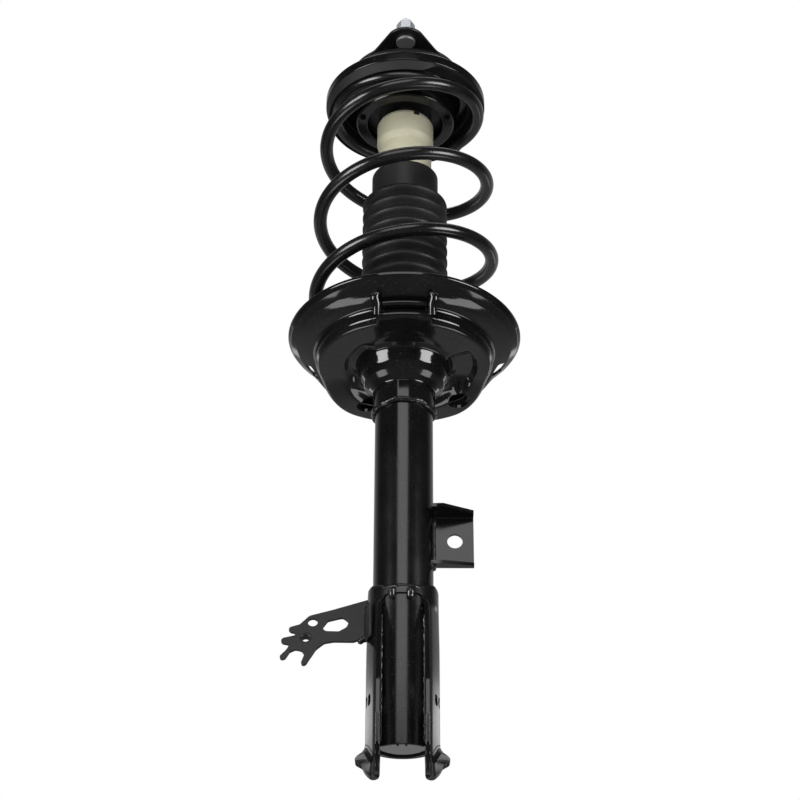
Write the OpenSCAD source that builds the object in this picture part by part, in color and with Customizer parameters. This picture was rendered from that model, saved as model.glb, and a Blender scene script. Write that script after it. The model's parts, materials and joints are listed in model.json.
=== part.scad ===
// Complete suspension strut: upper mount, steering bearing, coil spring, bump stop, dust boot and a
// twin-tube damper with its welded brackets. Millimetres.
// The origin is the centre of the stud circle on the upper face of the mount plate. +Z points up
// along the strut, the knuckle bracket opens towards -Y and the link bracket points towards +X.

/* [Upper mount] */
// Pitch circle diameter of the three studs
stud_pcd = 120; // [118:1:124]
// Thread diameter of the studs
stud_d = 10; // [8:2:12]
// Height of the stud tips above the plate
stud_tip = 22; // [20:1:28]
// Radius of each lobe around its stud
lobe_r = 17.5; // [16:0.5:19]
// Radius of the round body between the lobes
plate_body_r = 52.7; // [50:0.1:56]
// Thickness of the mount plate
plate_t = 3; // [2.5:0.5:3]

/* [Bearing and upper seat] */
// Pitch radius of the bearing balls
ball_pitch_r = 51; // [50:0.5:52]
// Number of balls
ball_count = 24; // [16:1:28]
// Ball diameter
ball_d = 6; // [5:0.5:6]
// Outer radius of the upper spring seat
seat_top_r = 75.2; // [74:0.1:77]

/* [Coil spring] */
// Wire diameter
wire_d = 12.3; // [11:0.1:12.3]
// Mean radius of the closed coil at the top
coil_top_r = 66; // [65:0.5:66]
// Mean radius of the closed coil at the bottom
coil_bottom_r = 80; // [79:0.5:80]
// Rise of one active turn
coil_pitch = 84; // [80:0.5:86]

/* [Damper] */
// Outer diameter of the reserve tube
tube_d = 50; // [50:1:50]
// Diameter of the piston rod
rod_d = 22; // [20:0.5:22]
// Diameter of the piston
piston_d = 32; // [30:0.5:32]

/* [Dust boot] */
// Outer radius of the convolutions
boot_r = 38.8; // [36:0.1:40]
// Distance from one convolution to the next
boot_pitch = 12.1; // [11.5:0.1:12.1]

/* [Lower seat] */
// Outer radius of the lower spring seat
seat_low_r = 102.7; // [101:0.1:106]

/* [Brackets] */
// Sheet thickness of the knuckle bracket
bracket_t = 3.6; // [3:0.1:4]
// Gap between the two ears of the knuckle bracket
ear_gap = 35; // [34:0.5:37]
// Diameter of the two knuckle bolt holes
knuckle_hole_d = 15; // [14:0.5:16]
// Distance between the two knuckle bolt holes
knuckle_hole_pitch = 62; // [58:1:64]
// Diameter of the stabiliser link hole
link_hole_d = 13; // [12:0.5:14]
// Sheet thickness of the link bracket
link_t = 3; // [2.5:0.5:3.5]
// Thickness of the hose bracket
hose_t = 2.6; // [2:0.1:3]
// Angle by which the hose bracket leans back
hose_lean = 14; // [10:1:18]

/* [Hidden] */
$fn = 96;

// Heights of the upper mount
stud_r = stud_d / 2;
stud_pos_r = stud_pcd / 2;
stud_root_r = stud_r - 0.4;
nut_base = 7;
nut_flange_top = 8.5;
nut_top = 16.5;
hat_top = 7;
hat_hole_r = 24;
cup_r = 40;
cup_t = 2.5;
cup_flange_r = 50.8;
cup_floor = -46;
core_top = -2;
core_bottom = -51.5;
core_hub_r = 13;
core_disc_r = 28;
shoulder_z = -54.5;

// Bearing
ball_r = ball_d / 2;
ball_z = -16;
race_gap = 0.06;
race_in_r = 43;
race_out_r = 59;
shroud_r = 62.5;
race_top = -6;
web_top = -27;

// Upper seat
seat_t = 2.5;
rim_bottom = -37.5;
hat_wall_r = 50;
hat_floor_r = 46;
hat_floor = -55;
seat_hole_r = 35.5;

// Spring path, counted in turns from the right-hand side, where the active coils begin
wire_r = wire_d / 2;
coil_top_z = -42;
// How far the very end of the top coil hangs below the rest of it
end_drop = 7;
coil_bottom_z = -294.8;
turn_start = -0.81;
turn_last_active = (coil_top_z - coil_bottom_z) / coil_pitch;
turn_end = turn_last_active + 0.72;
turn_blend = 0.15;
rings = 118;
wire_sides = 12;

// Bump stop and boot
bump_r = 26.35;
bump_neck_r = 24.5;
bump_groove_r = 20.5;
bump_bottom = -132;
boot_top = -118;
boot_collar_r = 30.4;
boot_collar_bottom = -146;
boot_wall = 1.5;
boot_depth = 5.5;
boot_peaks = 11;
boot_first_z = boot_collar_bottom - 6;
boot_bottom = -304;
// Upper end of the cuff that grips the tube, just below the tube's cap
boot_cuff_top = -281.5;

// Damper
tube_r = tube_d / 2;
tube_wall = 2.2;
tube_top = -268;
tube_bottom = -660;
cap_bottom = -671.5;
cap_face_r = 16.8;
cap_top = -262;
rod_r = rod_d / 2;
rod_thread_r = 7;
rod_tip = 15;
rod_run = 0.04;
guide_top = -272;
guide_bottom = -292;
bush_r = 13;
cylinder_r = piston_d / 2;
cylinder_wall = 1.8;
cylinder_bottom = -640;
stop_top = -292.5;
piston_top = -330;
piston_h = 22;
rod_end_r = 6;
rod_end = piston_top - piston_h - 16;

// Lower seat
neck_r = 27;
neck_bottom = -368;
ledge_z = -304.5;

// Brackets
sleeve_in_r = tube_r + 1;
sleeve_r = sleeve_in_r + bracket_t;
sleeve_top = -532;
sleeve_full = -540;
window_top = -551;
wall_bottom = -671;
slot_w = 5.2;
slot_h = 8.6;
slot_z = -635.7;
lip_t = 3.5;
saddle_t = 2.5;
saddle_bottom = -678.5;
ear_in = ear_gap / 2;
ear_out = ear_in + bracket_t;
bolt_y = -43;
bolt_low_z = -693.5;
bolt_high_z = bolt_low_z + knuckle_hole_pitch;
lobe_low_r = 15;
// Start and slope of the line along which the ears' lower rear edges are turned out
lip_y = -10;
lip_z = -677;
lip_tilt = 221;
link_top = -466;
link_bottom = -516;
link_end = 58.7;
link_hole_x = 43;
link_hole_z = (link_top + link_bottom) / 2;
hose_z = -565;
hose_hole = [-73.6, -1.8];
hose_hole_r = 4.1;
hose_nut_at = [-78.9, -17.6];
hose_nut_r = 5;

black_steel = [0.05, 0.05, 0.055];
black_rubber = [0.07, 0.07, 0.07];
zinc = [0.75, 0.77, 0.8];
steel = [0.55, 0.56, 0.58];

// A ring between two radii and two heights
module ring(r_out, r_in, z_low, z_high) {
    rotate_extrude()
        translate([r_in, z_low])
            square([r_out - r_in, z_high - z_low]);
}

// Everything that repeats at the three studs
module at_studs() {
    for (i = [0 : 2])
        rotate([0, 0, -90 + i * 120])
            translate([stud_pos_r, 0, 0])
                children();
}

// Three lobes joined by straight sides, as a flat outline
module plate_outline() {
    // The sides start just inside the lobes' tangent points, so each lobe meets them cleanly
    side = [for (i = [0 : 2]) for (turn = [-57, 57])
        let (a = -90 + i * 120)
        [stud_pos_r * cos(a) + lobe_r * cos(a + turn), stud_pos_r * sin(a) + lobe_r * sin(a + turn)]];
    polygon(side);
    circle(r = plate_body_r);
    for (i = [0 : 2])
        rotate(-90 + i * 120)
            translate([stud_pos_r, 0])
                circle(r = lobe_r);
}

module mount_plate() {
    color(black_steel) difference() {
        union() {
            translate([0, 0, -plate_t])
                linear_extrude(plate_t)
                    difference() {
                        plate_outline();
                        circle(r = 43);
                    }
            rotate_extrude()
                polygon([[44, -plate_t], [44, 0], [39, hat_top], [hat_hole_r, hat_top],
                         [hat_hole_r, hat_top - plate_t], [37.2, hat_top - plate_t], [42, -plate_t]]);
        }
        at_studs()
            translate([0, 0, -plate_t - 1])
                cylinder(r = stud_r + 0.5, h = plate_t + 2);
    }
}

module mount_studs() {
    color(zinc) at_studs() {
        translate([0, 0, -plate_t - 3]) cylinder(r = 9, h = 3);
        translate([0, 0, -plate_t]) cylinder(r = stud_r + 0.5, h = plate_t);
        cylinder(r = stud_r, h = nut_base);
        translate([0, 0, nut_base]) cylinder(r = stud_root_r, h = nut_top - nut_base);
        translate([0, 0, nut_top]) cylinder(r = stud_r, h = stud_tip - 1 - nut_top);
        translate([0, 0, stud_tip - 1]) cylinder(r1 = stud_r, r2 = stud_r - 1, h = 1);
    }
}

module stud_nuts() {
    color(zinc) at_studs() difference() {
        union() {
            translate([0, 0, nut_base]) cylinder(r = 9, h = nut_flange_top - nut_base);
            translate([0, 0, nut_flange_top])
                cylinder(r = 7.5 / cos(30), h = nut_top - nut_flange_top, $fn = 6);
        }
        translate([0, 0, nut_base - 1]) cylinder(r = stud_root_r, h = nut_top - nut_base + 2);
    }
}

module mount_cup() {
    color(black_steel) rotate_extrude()
        polygon([[cup_r - cup_t, -plate_t], [cup_flange_r, -plate_t], [cup_flange_r, race_top],
                 [cup_r, race_top],
                 [cup_r, cup_floor], [24, cup_floor], [24, cup_floor + cup_t],
                 [cup_r - cup_t, cup_floor + cup_t]]);
}

module mount_rubber() {
    color(black_rubber) rotate_extrude() difference() {
        polygon([[core_hub_r, cup_floor + cup_t], [cup_r - cup_t, cup_floor + cup_t],
                 [cup_r - cup_t, -4], [33, -4], [27, -12], [20, -6], [core_hub_r, -4]]);
        translate([core_hub_r - 1, -27]) square([core_disc_r - core_hub_r + 1, 4]);
    }
}

module mount_core() {
    color(steel) rotate_extrude()
        polygon([[rod_thread_r, core_bottom], [core_hub_r, core_bottom], [core_hub_r, -27],
                 [core_disc_r, -27], [core_disc_r, -23], [core_hub_r, -23], [core_hub_r, core_top],
                 [rod_thread_r, core_top]]);
}

module rod_washer() {
    color(zinc) ring(17, rod_thread_r, core_top, core_top + 3);
}

module rod_nut() {
    color(zinc) difference() {
        union() {
            translate([0, 0, core_top + 3]) cylinder(r = 10.5 / cos(30), h = 9, $fn = 6);
            translate([0, 0, core_top + 12]) cylinder(r = 9.5, h = 2);
        }
        translate([0, 0, core_top]) cylinder(r = rod_thread_r, h = 20);
    }
}

module bump_washer() {
    color(black_steel) ring(22, rod_thread_r, shoulder_z, core_bottom);
}

// The groove that the balls roll in
module raceway() {
    rotate_extrude()
        translate([ball_pitch_r, ball_z])
            circle(r = ball_r + race_gap);
}

module bearing_upper_race() {
    color(black_rubber) difference() {
        rotate_extrude()
            polygon([[race_in_r, ball_z + 2], [race_in_r, race_top], [54, race_top], [shroud_r, -15],
                     [shroud_r, -22], [shroud_r - 2.2, -22], [shroud_r - 2.2, ball_z + 2]]);
        raceway();
    }
}

module bearing_lower_race() {
    color(black_rubber) difference() {
        ring(race_out_r, race_in_r, web_top, ball_z - 2);
        raceway();
    }
}

module bearing_cage() {
    color([0.8, 0.8, 0.75]) difference() {
        ring(ball_pitch_r + 5, ball_pitch_r - 5, ball_z - 1, ball_z + 1);
        for (i = [0 : ball_count - 1])
            rotate([0, 0, i * 360 / ball_count])
                translate([ball_pitch_r, 0, ball_z - 3])
                    cylinder(r = ball_r + 0.1, h = 6);
    }
}

module bearing_balls() {
    color(steel)
        for (i = [0 : ball_count - 1])
            rotate([0, 0, i * 360 / ball_count])
                translate([ball_pitch_r, 0, ball_z])
                    sphere(r = ball_r);
}

module upper_seat() {
    color(black_steel) rotate_extrude()
        polygon([[seat_top_r, rim_bottom], [seat_top_r, web_top - 2], [seat_top_r - 2, web_top],
                 [47.5, web_top], [hat_floor_r - seat_t, hat_floor + seat_t],
                 [seat_hole_r, hat_floor + seat_t], [seat_hole_r, hat_floor],
                 [hat_floor_r - 1, hat_floor], [hat_floor_r, hat_floor + 1],
                 [hat_wall_r, web_top - seat_t], [seat_top_r - 2.4, web_top - seat_t],
                 [seat_top_r - 2, rim_bottom]]);
}

module upper_insulator() {
    color(black_rubber) ring(72, 58.5, coil_top_z + wire_r + 0.1, web_top - seat_t);
}

// Rises from 0 at slope 0 to slope 1, with a smooth bend from -turn_blend to +turn_blend
function soft_ramp(x) =
    x < -turn_blend ? 0 : x > turn_blend ? x : pow(x + turn_blend, 2) / (4 * turn_blend);
// 0 before the closed coil starts to hang, 1 at its end
function end_share(u) =
    let (t = min(1, max(0, (u + 0.42) / (turn_start + 0.42)))) t * t * (3 - 2 * t);
function coil_z(u) =
    coil_top_z - coil_pitch * (soft_ramp(u) - soft_ramp(u - turn_last_active))
    - end_drop * end_share(u);
function coil_r(u) =
    lookup(u, [[-0.8, coil_top_r - 2.5], [-0.3, coil_top_r], [0, coil_top_r + 2], [0.5, 74],
               [1.25, 77], [2.25, 79.5], [turn_last_active, coil_bottom_r]]);
function coil_point(u) = [coil_r(u) * cos(-360 * u), coil_r(u) * sin(-360 * u), coil_z(u)];
function unit(v) = v / norm(v);

module coil_spring() {
    us = [for (i = [0 : rings]) turn_start + (turn_end - turn_start) * i / rings];
    points = [for (u = us)
        let (centre = coil_point(u),
             along = unit(coil_point(u + 0.002) - coil_point(u - 0.002)),
             out = unit([cos(-360 * u), sin(-360 * u), 0]),
             side = unit(out - (out * along) * along),
             up = cross(along, side))
        for (j = [0 : wire_sides - 1])
            centre + wire_r * (cos(360 * j / wire_sides) * side + sin(360 * j / wire_sides) * up)];
    walls = [for (i = [0 : rings - 1]) for (j = [0 : wire_sides - 1])
        let (a = i * wire_sides + j, b = i * wire_sides + (j + 1) % wire_sides)
        each [[a, b, b + wire_sides], [a, b + wire_sides, a + wire_sides]]];
    first = [for (j = [wire_sides - 1 : -1 : 0]) j];
    last = [for (j = [0 : wire_sides - 1]) rings * wire_sides + j];
    color(black_steel) polyhedron(points, concat([first, last], walls));
}

module bump_stop() {
    color([0.93, 0.91, 0.76]) difference() {
        rotate_extrude()
            polygon([[rod_r + 0.4, shoulder_z], [21, shoulder_z], [24.5, -55.6], [bump_r, -59],
                     [bump_r, -79], [bump_neck_r, -86], [bump_neck_r, boot_top + 4],
                     [bump_groove_r, boot_top + 0.5], [bump_groove_r, boot_top - 4.5],
                     [22.5, boot_top - 7], [18, bump_bottom], [rod_r + 0.4, bump_bottom]]);
        translate([8, -30, -60.5]) cube([5, 14, 4]);
    }
}

// The valley above each convolution and its rounded peak, from the top down
function boot_wave(outer) =
    [for (i = [0 : boot_peaks - 1]) let (z = boot_first_z - i * boot_pitch, r = outer)
        each [[r - boot_depth, z + boot_pitch / 2], [r - 1.2, z + 2.2], [r, z + 0.9],
              [r, z - 0.9], [r - 1.2, z - 2.2]]];

module dust_boot() {
    outer = boot_wave(boot_r);
    inner = boot_wave(boot_r - boot_wall);
    n = len(outer);
    color(black_rubber) rotate_extrude()
        polygon(concat(
            [[bump_groove_r + 0.1, boot_top], [boot_collar_r - 1, boot_top],
             [boot_collar_r, boot_top - 1], [boot_collar_r, boot_collar_bottom + 1]],
            outer,
            [[27.5, boot_cuff_top - 2], [27.5, boot_bottom], [tube_r, boot_bottom],
             [tube_r, boot_cuff_top]],
            [for (i = [n - 1 : -1 : 0]) inner[i]],
            [[boot_collar_r - 2.2, boot_collar_bottom + 1.4], [boot_collar_r - 2.2, boot_top - 4],
             [bump_groove_r + 0.1, boot_top - 4]]));
}

module piston_rod() {
    color(steel) rotate_extrude()
        polygon([[0, rod_end], [rod_end_r, rod_end], [rod_end_r, piston_top], [rod_r, piston_top],
                 [rod_r, shoulder_z], [rod_thread_r, shoulder_z], [rod_thread_r, rod_tip - 1],
                 [rod_thread_r - 1, rod_tip], [0, rod_tip]]);
}

module rebound_stop() {
    color(black_rubber) ring(15, rod_r, stop_top - 10, stop_top);
}

module piston() {
    color(steel) difference() {
        rotate_extrude()
            polygon([[rod_end_r, piston_top - piston_h], [cylinder_r - 0.5, piston_top - piston_h],
                     [cylinder_r - 0.5, piston_top - 17], [cylinder_r - 2, piston_top - 17],
                     [cylinder_r - 2, piston_top - 8], [cylinder_r - 0.5, piston_top - 8],
                     [cylinder_r - 0.5, piston_top - 3], [rod_end_r, piston_top - 3]]);
        for (i = [0 : 7])
            rotate([0, 0, i * 45])
                translate([10.5, 0, piston_top - piston_h - 1])
                    cylinder(r = 1.6, h = piston_h + 2);
    }
}

module piston_band() {
    color([0.35, 0.2, 0.12])
        ring(cylinder_r - 0.05, cylinder_r - 2, piston_top - 17, piston_top - 8);
}

// Thin discs above and below the piston
module valve_shims() {
    color(steel) {
        for (i = [0 : 2]) ring(13 - i, rod_end_r, piston_top - 3 + i, piston_top - 2 + i);
        for (i = [0 : 2])
            ring(13 - i, rod_end_r, piston_top - piston_h - 1 - i, piston_top - piston_h - i);
    }
}

module piston_nut() {
    color(zinc) difference() {
        translate([0, 0, rod_end + 2]) cylinder(r = 9 / cos(30), h = 11, $fn = 6);
        translate([0, 0, rod_end]) cylinder(r = rod_end_r, h = 16);
    }
}

module reserve_tube() {
    color(black_steel) ring(tube_r, tube_r - tube_wall, tube_bottom, tube_top);
}

module tube_cap() {
    color(zinc) rotate_extrude()
        polygon([[rod_r + 1.5, cap_top - 3], [rod_r + 1.5, cap_top], [25.5, cap_top],
                 [26.5, cap_top - 1], [26.5, -280], [tube_r, -280], [tube_r, cap_top - 3]]);
}

module rod_guide() {
    color(steel) rotate_extrude()
        polygon([[bush_r, guide_bottom], [cylinder_r, guide_bottom],
                 [cylinder_r, guide_bottom + 6], [tube_r - tube_wall, guide_bottom + 6],
                 [tube_r - tube_wall, guide_top], [bush_r, guide_top]]);
}

module guide_bush() {
    color([0.45, 0.35, 0.2]) ring(bush_r, rod_r + rod_run, guide_bottom, guide_top);
}

module rod_seal() {
    color(black_rubber) ring(tube_r - tube_wall, rod_r + rod_run, guide_top, cap_top - 4);
}

module pressure_tube() {
    color(steel) ring(cylinder_r + cylinder_wall, cylinder_r, cylinder_bottom, guide_bottom + 6);
}

module foot_valve() {
    color(steel) difference() {
        union() {
            translate([0, 0, cylinder_bottom]) cylinder(r = cylinder_r, h = 6);
            translate([0, 0, cylinder_bottom - 8]) cylinder(r = cylinder_r + cylinder_wall, h = 8);
        }
        for (i = [0 : 5])
            rotate([0, 0, i * 60])
                translate([9, 0, cylinder_bottom - 10])
                    cylinder(r = 1.5, h = 20);
    }
}

module base_cap() {
    color(black_steel) rotate_extrude()
        polygon([[0, cap_bottom], [cap_face_r, cap_bottom], [21.5, cap_bottom + 1.5],
                 [24, cap_bottom + 5], [tube_r, tube_bottom], [tube_r - tube_wall, tube_bottom],
                 [tube_r - tube_wall, cylinder_bottom - 8], [cylinder_r, cylinder_bottom - 8],
                 [cylinder_r, tube_bottom - 4], [cylinder_r - 4, tube_bottom - 8], [0, tube_bottom - 8]]);
}

module lower_seat() {
    color(black_steel) difference() {
        rotate_extrude()
            polygon([[seat_low_r, -292], [seat_low_r, -294.5], [seat_low_r - 2, -297.5],
                     [86, ledge_z - 2.7], [78.5, -308.5], [76, -318.5], [73, -322.5],
                     [47, -323.6], [41.5, -325.5], [40.3, -329], [38.5, -336], [35, -341.5],
                     [30.3, -345.5], [neck_r, -350], [neck_r, neck_bottom], [tube_r, neck_bottom],
                     [tube_r, -348], [28.6, -343.4], [32.8, -339.6], [36, -334.8], [37.6, -328.6],
                     [39.5, -323.3], [46, -321.2], [72, -319.9],
                     [73.5, -317], [75.6, ledge_z], [86, ledge_z], [seat_low_r - 3, -294.8],
                     [seat_low_r - 2.5, -292]]);
        // see-through slot on the left and square drain hole on the right
        rotate([0, 0, 157]) translate([86.8, -9, -320]) cube([5.5, 18, 30]);
        rotate([0, 0, 20]) translate([86.5, -9, -320]) cube([8.5, 18, 30]);
        // drain holes behind the hub
        rotate([0, 0, 42]) translate([63, 0, -335]) cylinder(r = 9, h = 30);
        rotate([0, 0, 124]) translate([62, 0, -335]) cylinder(r = 8, h = 30);
    }
}

module lower_insulator() {
    color(black_rubber)
        ring(86, 75.8, ledge_z, coil_bottom_z - wire_r - 0.1);
}

// Outline of one ear, drawn as [-y, z] and stood up in the YZ plane
module ear_outline() {
    front = [[26, window_top], [28, -560], [41, -592], [57, -637], [60, -665], [60, bolt_low_z]];
    rear = [[45.9, bolt_low_z - lobe_low_r + 0.3], [-lip_y, lip_z], [-lip_y, wall_bottom + 12],
            [14, wall_bottom + 20], [14, window_top]];
    polygon(concat(front, rear));
    translate([-bolt_y, bolt_low_z]) circle(r = lobe_low_r);
}

module ear(side) {
    x = side > 0 ? ear_in : -ear_out;
    translate([x, 0, 0])
        rotate([90, 0, -90])
            mirror([0, 0, 1])
                linear_extrude(bracket_t)
                    ear_outline();
}

// Lip turned outwards along the lower rear edge of one ear: how far each corner stands out from the
// strut's axis, and how far down the slope it is
module ear_lip(side) {
    lip = [[ear_out - 2, -2], [28, -2], [31.5, 5], [36.8, 13], [36.8, 16], [33.8, 28], [31.8, 38],
           [29, 45.5], [ear_out - 2, 48]];
    translate([0, lip_y, lip_z])
        rotate([lip_tilt, 0, 0])
            linear_extrude(lip_t)
                polygon([for (p = lip) [side * p[0], p[1]]]);
}

// Upright slot pierced through the sleeve wall at an angle around the strut
module sleeve_slot(angle) {
    rotate([0, 0, angle])
        translate([tube_r + 0.2, -slot_w / 2, slot_z - slot_h / 2])
            cube([8, slot_w, slot_h]);
}

module knuckle_bracket() {
    color(black_steel) difference() {
        union() {
            // sleeve around the tube, closed at the front only above the window
            difference() {
                rotate_extrude()
                    polygon([[sleeve_in_r, wall_bottom], [sleeve_r, wall_bottom],
                             [sleeve_r, sleeve_full], [tube_r + 2.5, sleeve_top], [tube_r, sleeve_top],
                             [tube_r, window_top + 4], [sleeve_in_r, window_top + 4]]);
                translate([-ear_in, -40, wall_bottom - 1])
                    cube([ear_gap, 40, window_top - wall_bottom + 1]);
            }
            // saddle between the ears that hugs the front of the tube
            intersection() {
                ring(tube_r + saddle_t, tube_r, saddle_bottom, window_top + 4);
                translate([-ear_in - 1, -40, saddle_bottom])
                    cube([ear_gap + 2, 40, window_top + 4 - saddle_bottom]);
            }
            difference() {
                union() {
                    ear(1);
                    ear(-1);
                }
                translate([0, 0, wall_bottom]) cylinder(r = tube_r, h = 200);
            }
            ear_lip(1);
            ear_lip(-1);
        }
        for (z = [bolt_low_z, bolt_high_z])
            translate([-50, bolt_y, z])
                rotate([0, 90, 0])
                    cylinder(d = knuckle_hole_d, h = 100);
        for (a = [-3, -18, 183, 198])
            sleeve_slot(a);
    }
}

module link_bracket() {
    color(black_steel) difference() {
        union() {
            translate([tube_r - 4, 0, link_bottom])
                cube([link_end - tube_r + 4, link_t, link_top - link_bottom]);
            translate([0, 0, link_top - link_t])
                linear_extrude(link_t)
                    polygon([[20, link_t], [link_end, link_t], [link_end, -8], [33, -21.5],
                             [23.5, -21], [23.5, -5]]);
            translate([0, 0, link_bottom])
                linear_extrude(link_t)
                    polygon([[20, link_t], [link_end, link_t], [link_end, -5], [33, -10],
                             [25, -10], [24, -6]]);
        }
        translate([0, 0, link_bottom - 1]) cylinder(r = tube_r, h = 60);
        translate([link_hole_x, link_t + 1, link_hole_z])
            rotate([90, 0, 0])
                cylinder(d = link_hole_d, h = link_t + 2);
    }
}

// Outline of the hose bracket in its own plane: x across, y up along the leaning plate
module hose_outline() {
    difference() {
        union() {
            polygon([[-29, 22], [-38.8, 17.9], [-57, 11.2], [-76.6, 4.8], [-85.6, -5], [-89.7, -17],
                     [-94, -23], [-99.4, -36.8], [-94.8, -37.1], [-91.2, -31.4], [-86.7, -28.8],
                     [-81.5, -30.1], [-79.3, -33.9], [-81.8, -42.7], [-77.9, -43], [-70.2, -28.7],
                     [-63.7, -22.3], [-56, -20.7], [-40, -20.9], [-29, -16]]);
            polygon([[-84, -4], [-91, -6.8], [-91, -11.2], [-86, -13]]);
            polygon([[-88, -15], [-96.5, -17.9], [-96.5, -22.7], [-91, -24]]);
            translate([-91, -9]) circle(r = 2.2);
            translate([-96.5, -20.3]) circle(r = 2.4);
            translate([-97.1, -36.9]) circle(r = 2.3);
            translate([-79.85, -42.8]) circle(r = 2);
        }
        translate(hose_hole) circle(r = hose_hole_r);
        translate(hose_nut_at) circle(r = hose_nut_r);
        polygon([[-65.8, -7.5], [-61.3, 0], [-48.9, 3.7], [-44.1, -1.5], [-46.1, -6.8],
                 [-52.2, -11], [-63.1, -10.7]]);
    }
}

module in_hose_plane() {
    translate([0, 0, hose_z])
        rotate([90 - hose_lean, 0, 0])
            children();
}

module hose_bracket() {
    color(black_steel) difference() {
        in_hose_plane() linear_extrude(hose_t) hose_outline();
        translate([0, 0, -620]) cylinder(r = sleeve_r, h = 100);
    }
}

module hose_nut() {
    color(black_steel) in_hose_plane()
        translate([hose_nut_at[0], hose_nut_at[1], 0])
            difference() {
                translate([0, 0, -2]) cylinder(r = hose_nut_r, h = hose_t + 2);
                translate([0, 0, -3]) cylinder(r = 3.4, h = hose_t + 4);
            }
}

mount_plate();
mount_studs();
stud_nuts();
mount_cup();
mount_rubber();
mount_core();
rod_washer();
rod_nut();
bump_washer();
bearing_upper_race();
bearing_cage();
bearing_balls();
bearing_lower_race();
upper_seat();
upper_insulator();
coil_spring();
bump_stop();
dust_boot();
piston_rod();
rebound_stop();
piston();
piston_band();
valve_shims();
piston_nut();
reserve_tube();
tube_cap();
rod_guide();
guide_bush();
rod_seal();
pressure_tube();
foot_valve();
base_cap();
lower_seat();
lower_insulator();
knuckle_bracket();
link_bracket();
hose_bracket();
hose_nut();
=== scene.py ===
import json
from math import acos, atan2, ceil, cos, degrees, pi, radians, sin, sqrt, tan

import bmesh
import bpy
from mathutils import Matrix, Vector, noise
from mathutils.geometry import delaunay_2d_cdt


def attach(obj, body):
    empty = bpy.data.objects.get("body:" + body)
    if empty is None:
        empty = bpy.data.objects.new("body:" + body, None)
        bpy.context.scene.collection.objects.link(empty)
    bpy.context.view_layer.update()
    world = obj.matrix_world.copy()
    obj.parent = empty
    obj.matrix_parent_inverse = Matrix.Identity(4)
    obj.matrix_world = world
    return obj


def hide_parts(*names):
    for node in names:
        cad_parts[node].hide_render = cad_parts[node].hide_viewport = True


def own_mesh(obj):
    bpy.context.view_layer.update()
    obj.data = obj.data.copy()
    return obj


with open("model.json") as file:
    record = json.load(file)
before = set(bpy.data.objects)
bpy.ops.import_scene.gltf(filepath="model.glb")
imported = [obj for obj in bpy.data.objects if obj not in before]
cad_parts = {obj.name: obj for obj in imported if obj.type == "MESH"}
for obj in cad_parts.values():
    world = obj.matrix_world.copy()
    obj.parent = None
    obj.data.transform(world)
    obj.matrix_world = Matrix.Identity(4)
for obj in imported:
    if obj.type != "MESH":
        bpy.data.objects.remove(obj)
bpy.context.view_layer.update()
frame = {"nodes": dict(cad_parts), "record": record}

# Without a seed the way the weld beads wander would differ from run to run
noise.seed_set(1)
MM = 0.001
scene = bpy.context.scene
scene.view_settings.view_transform = "Standard"
nodes = frame["nodes"]

# ---------------- camera
PITCH = radians(30)
ROLL = radians(0.25)
CAMERA_AT = (0, -1.479, -1.2089)
right = Vector((1, 0, 0))
ahead = Vector((0, cos(PITCH), sin(PITCH)))
upward = Vector((0, -sin(PITCH), cos(PITCH)))
cam_x = right * cos(ROLL) + upward * sin(ROLL)
cam_y = upward * cos(ROLL) - right * sin(ROLL)
camera = bpy.data.objects.new("camera", bpy.data.cameras.new("camera"))
scene.collection.objects.link(camera)
camera.data.sensor_width = 36
camera.data.lens = 88.335
camera.data.shift_x = -0.0051
camera.data.clip_start = 0.05
camera.data.clip_end = 60
camera.matrix_world = Matrix.Translation(CAMERA_AT) @ Matrix((cam_x, cam_y, -ahead)).transposed().to_4x4()
scene.camera = camera


# ---------------- materials
def add(tree, kind):
    return tree.nodes.new("ShaderNode" + kind)


def shader(name, rough, metal=0.0, specular=0.5):
    """A material with a Principled shader and object coordinates, ready for its detail."""
    mat = bpy.data.materials.new(name)
    mat.use_nodes = True
    tree = mat.node_tree
    bsdf = tree.nodes["Principled BSDF"]
    for socket, number in (("Roughness", rough), ("Metallic", metal), ("Specular IOR Level", specular)):
        bsdf.inputs[socket].default_value = number
    where = add(tree, "TexCoord").outputs["Object"]
    return mat, tree, bsdf, where


def grain(tree, where, per_mm, detail=2.0, rough=0.5, stretch=(1, 1, 1)):
    """Noise with that many features a millimetre, as a 0 to 1 output."""
    mapping = add(tree, "Mapping")
    mapping.inputs["Scale"].default_value = stretch
    tex = add(tree, "TexNoise")
    tex.inputs["Scale"].default_value = per_mm * 1000
    tex.inputs["Detail"].default_value = detail
    tex.inputs["Roughness"].default_value = rough
    tree.links.new(where, mapping.inputs["Vector"])
    tree.links.new(mapping.outputs["Vector"], tex.inputs["Vector"])
    return tex.outputs["Fac"]


def remap(tree, value, low, high, from_low=0.3, from_high=0.7, eased=False):
    """Takes from_low..from_high to low..high, with soft ends when eased."""
    node = add(tree, "MapRange")
    if eased:
        node.interpolation_type = "SMOOTHSTEP"
    limits = {"From Min": from_low, "From Max": from_high, "To Min": low, "To Max": high}
    for socket, number in limits.items():
        node.inputs[socket].default_value = number
    tree.links.new(value, node.inputs["Value"])
    return node.outputs["Result"]


def mix(tree, share, a, b):
    """Colour a where share is 0 and colour b where it is 1; either may be an output or a colour."""
    node = add(tree, "Mix")
    node.data_type = "RGBA"
    tree.links.new(share, node.inputs["Factor"])
    for socket, colour in ((node.inputs[6], a), (node.inputs[7], b)):
        if isinstance(colour, tuple):
            socket.default_value = (*colour, 1)
        else:
            tree.links.new(colour, socket)
    return node.outputs[2]


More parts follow.
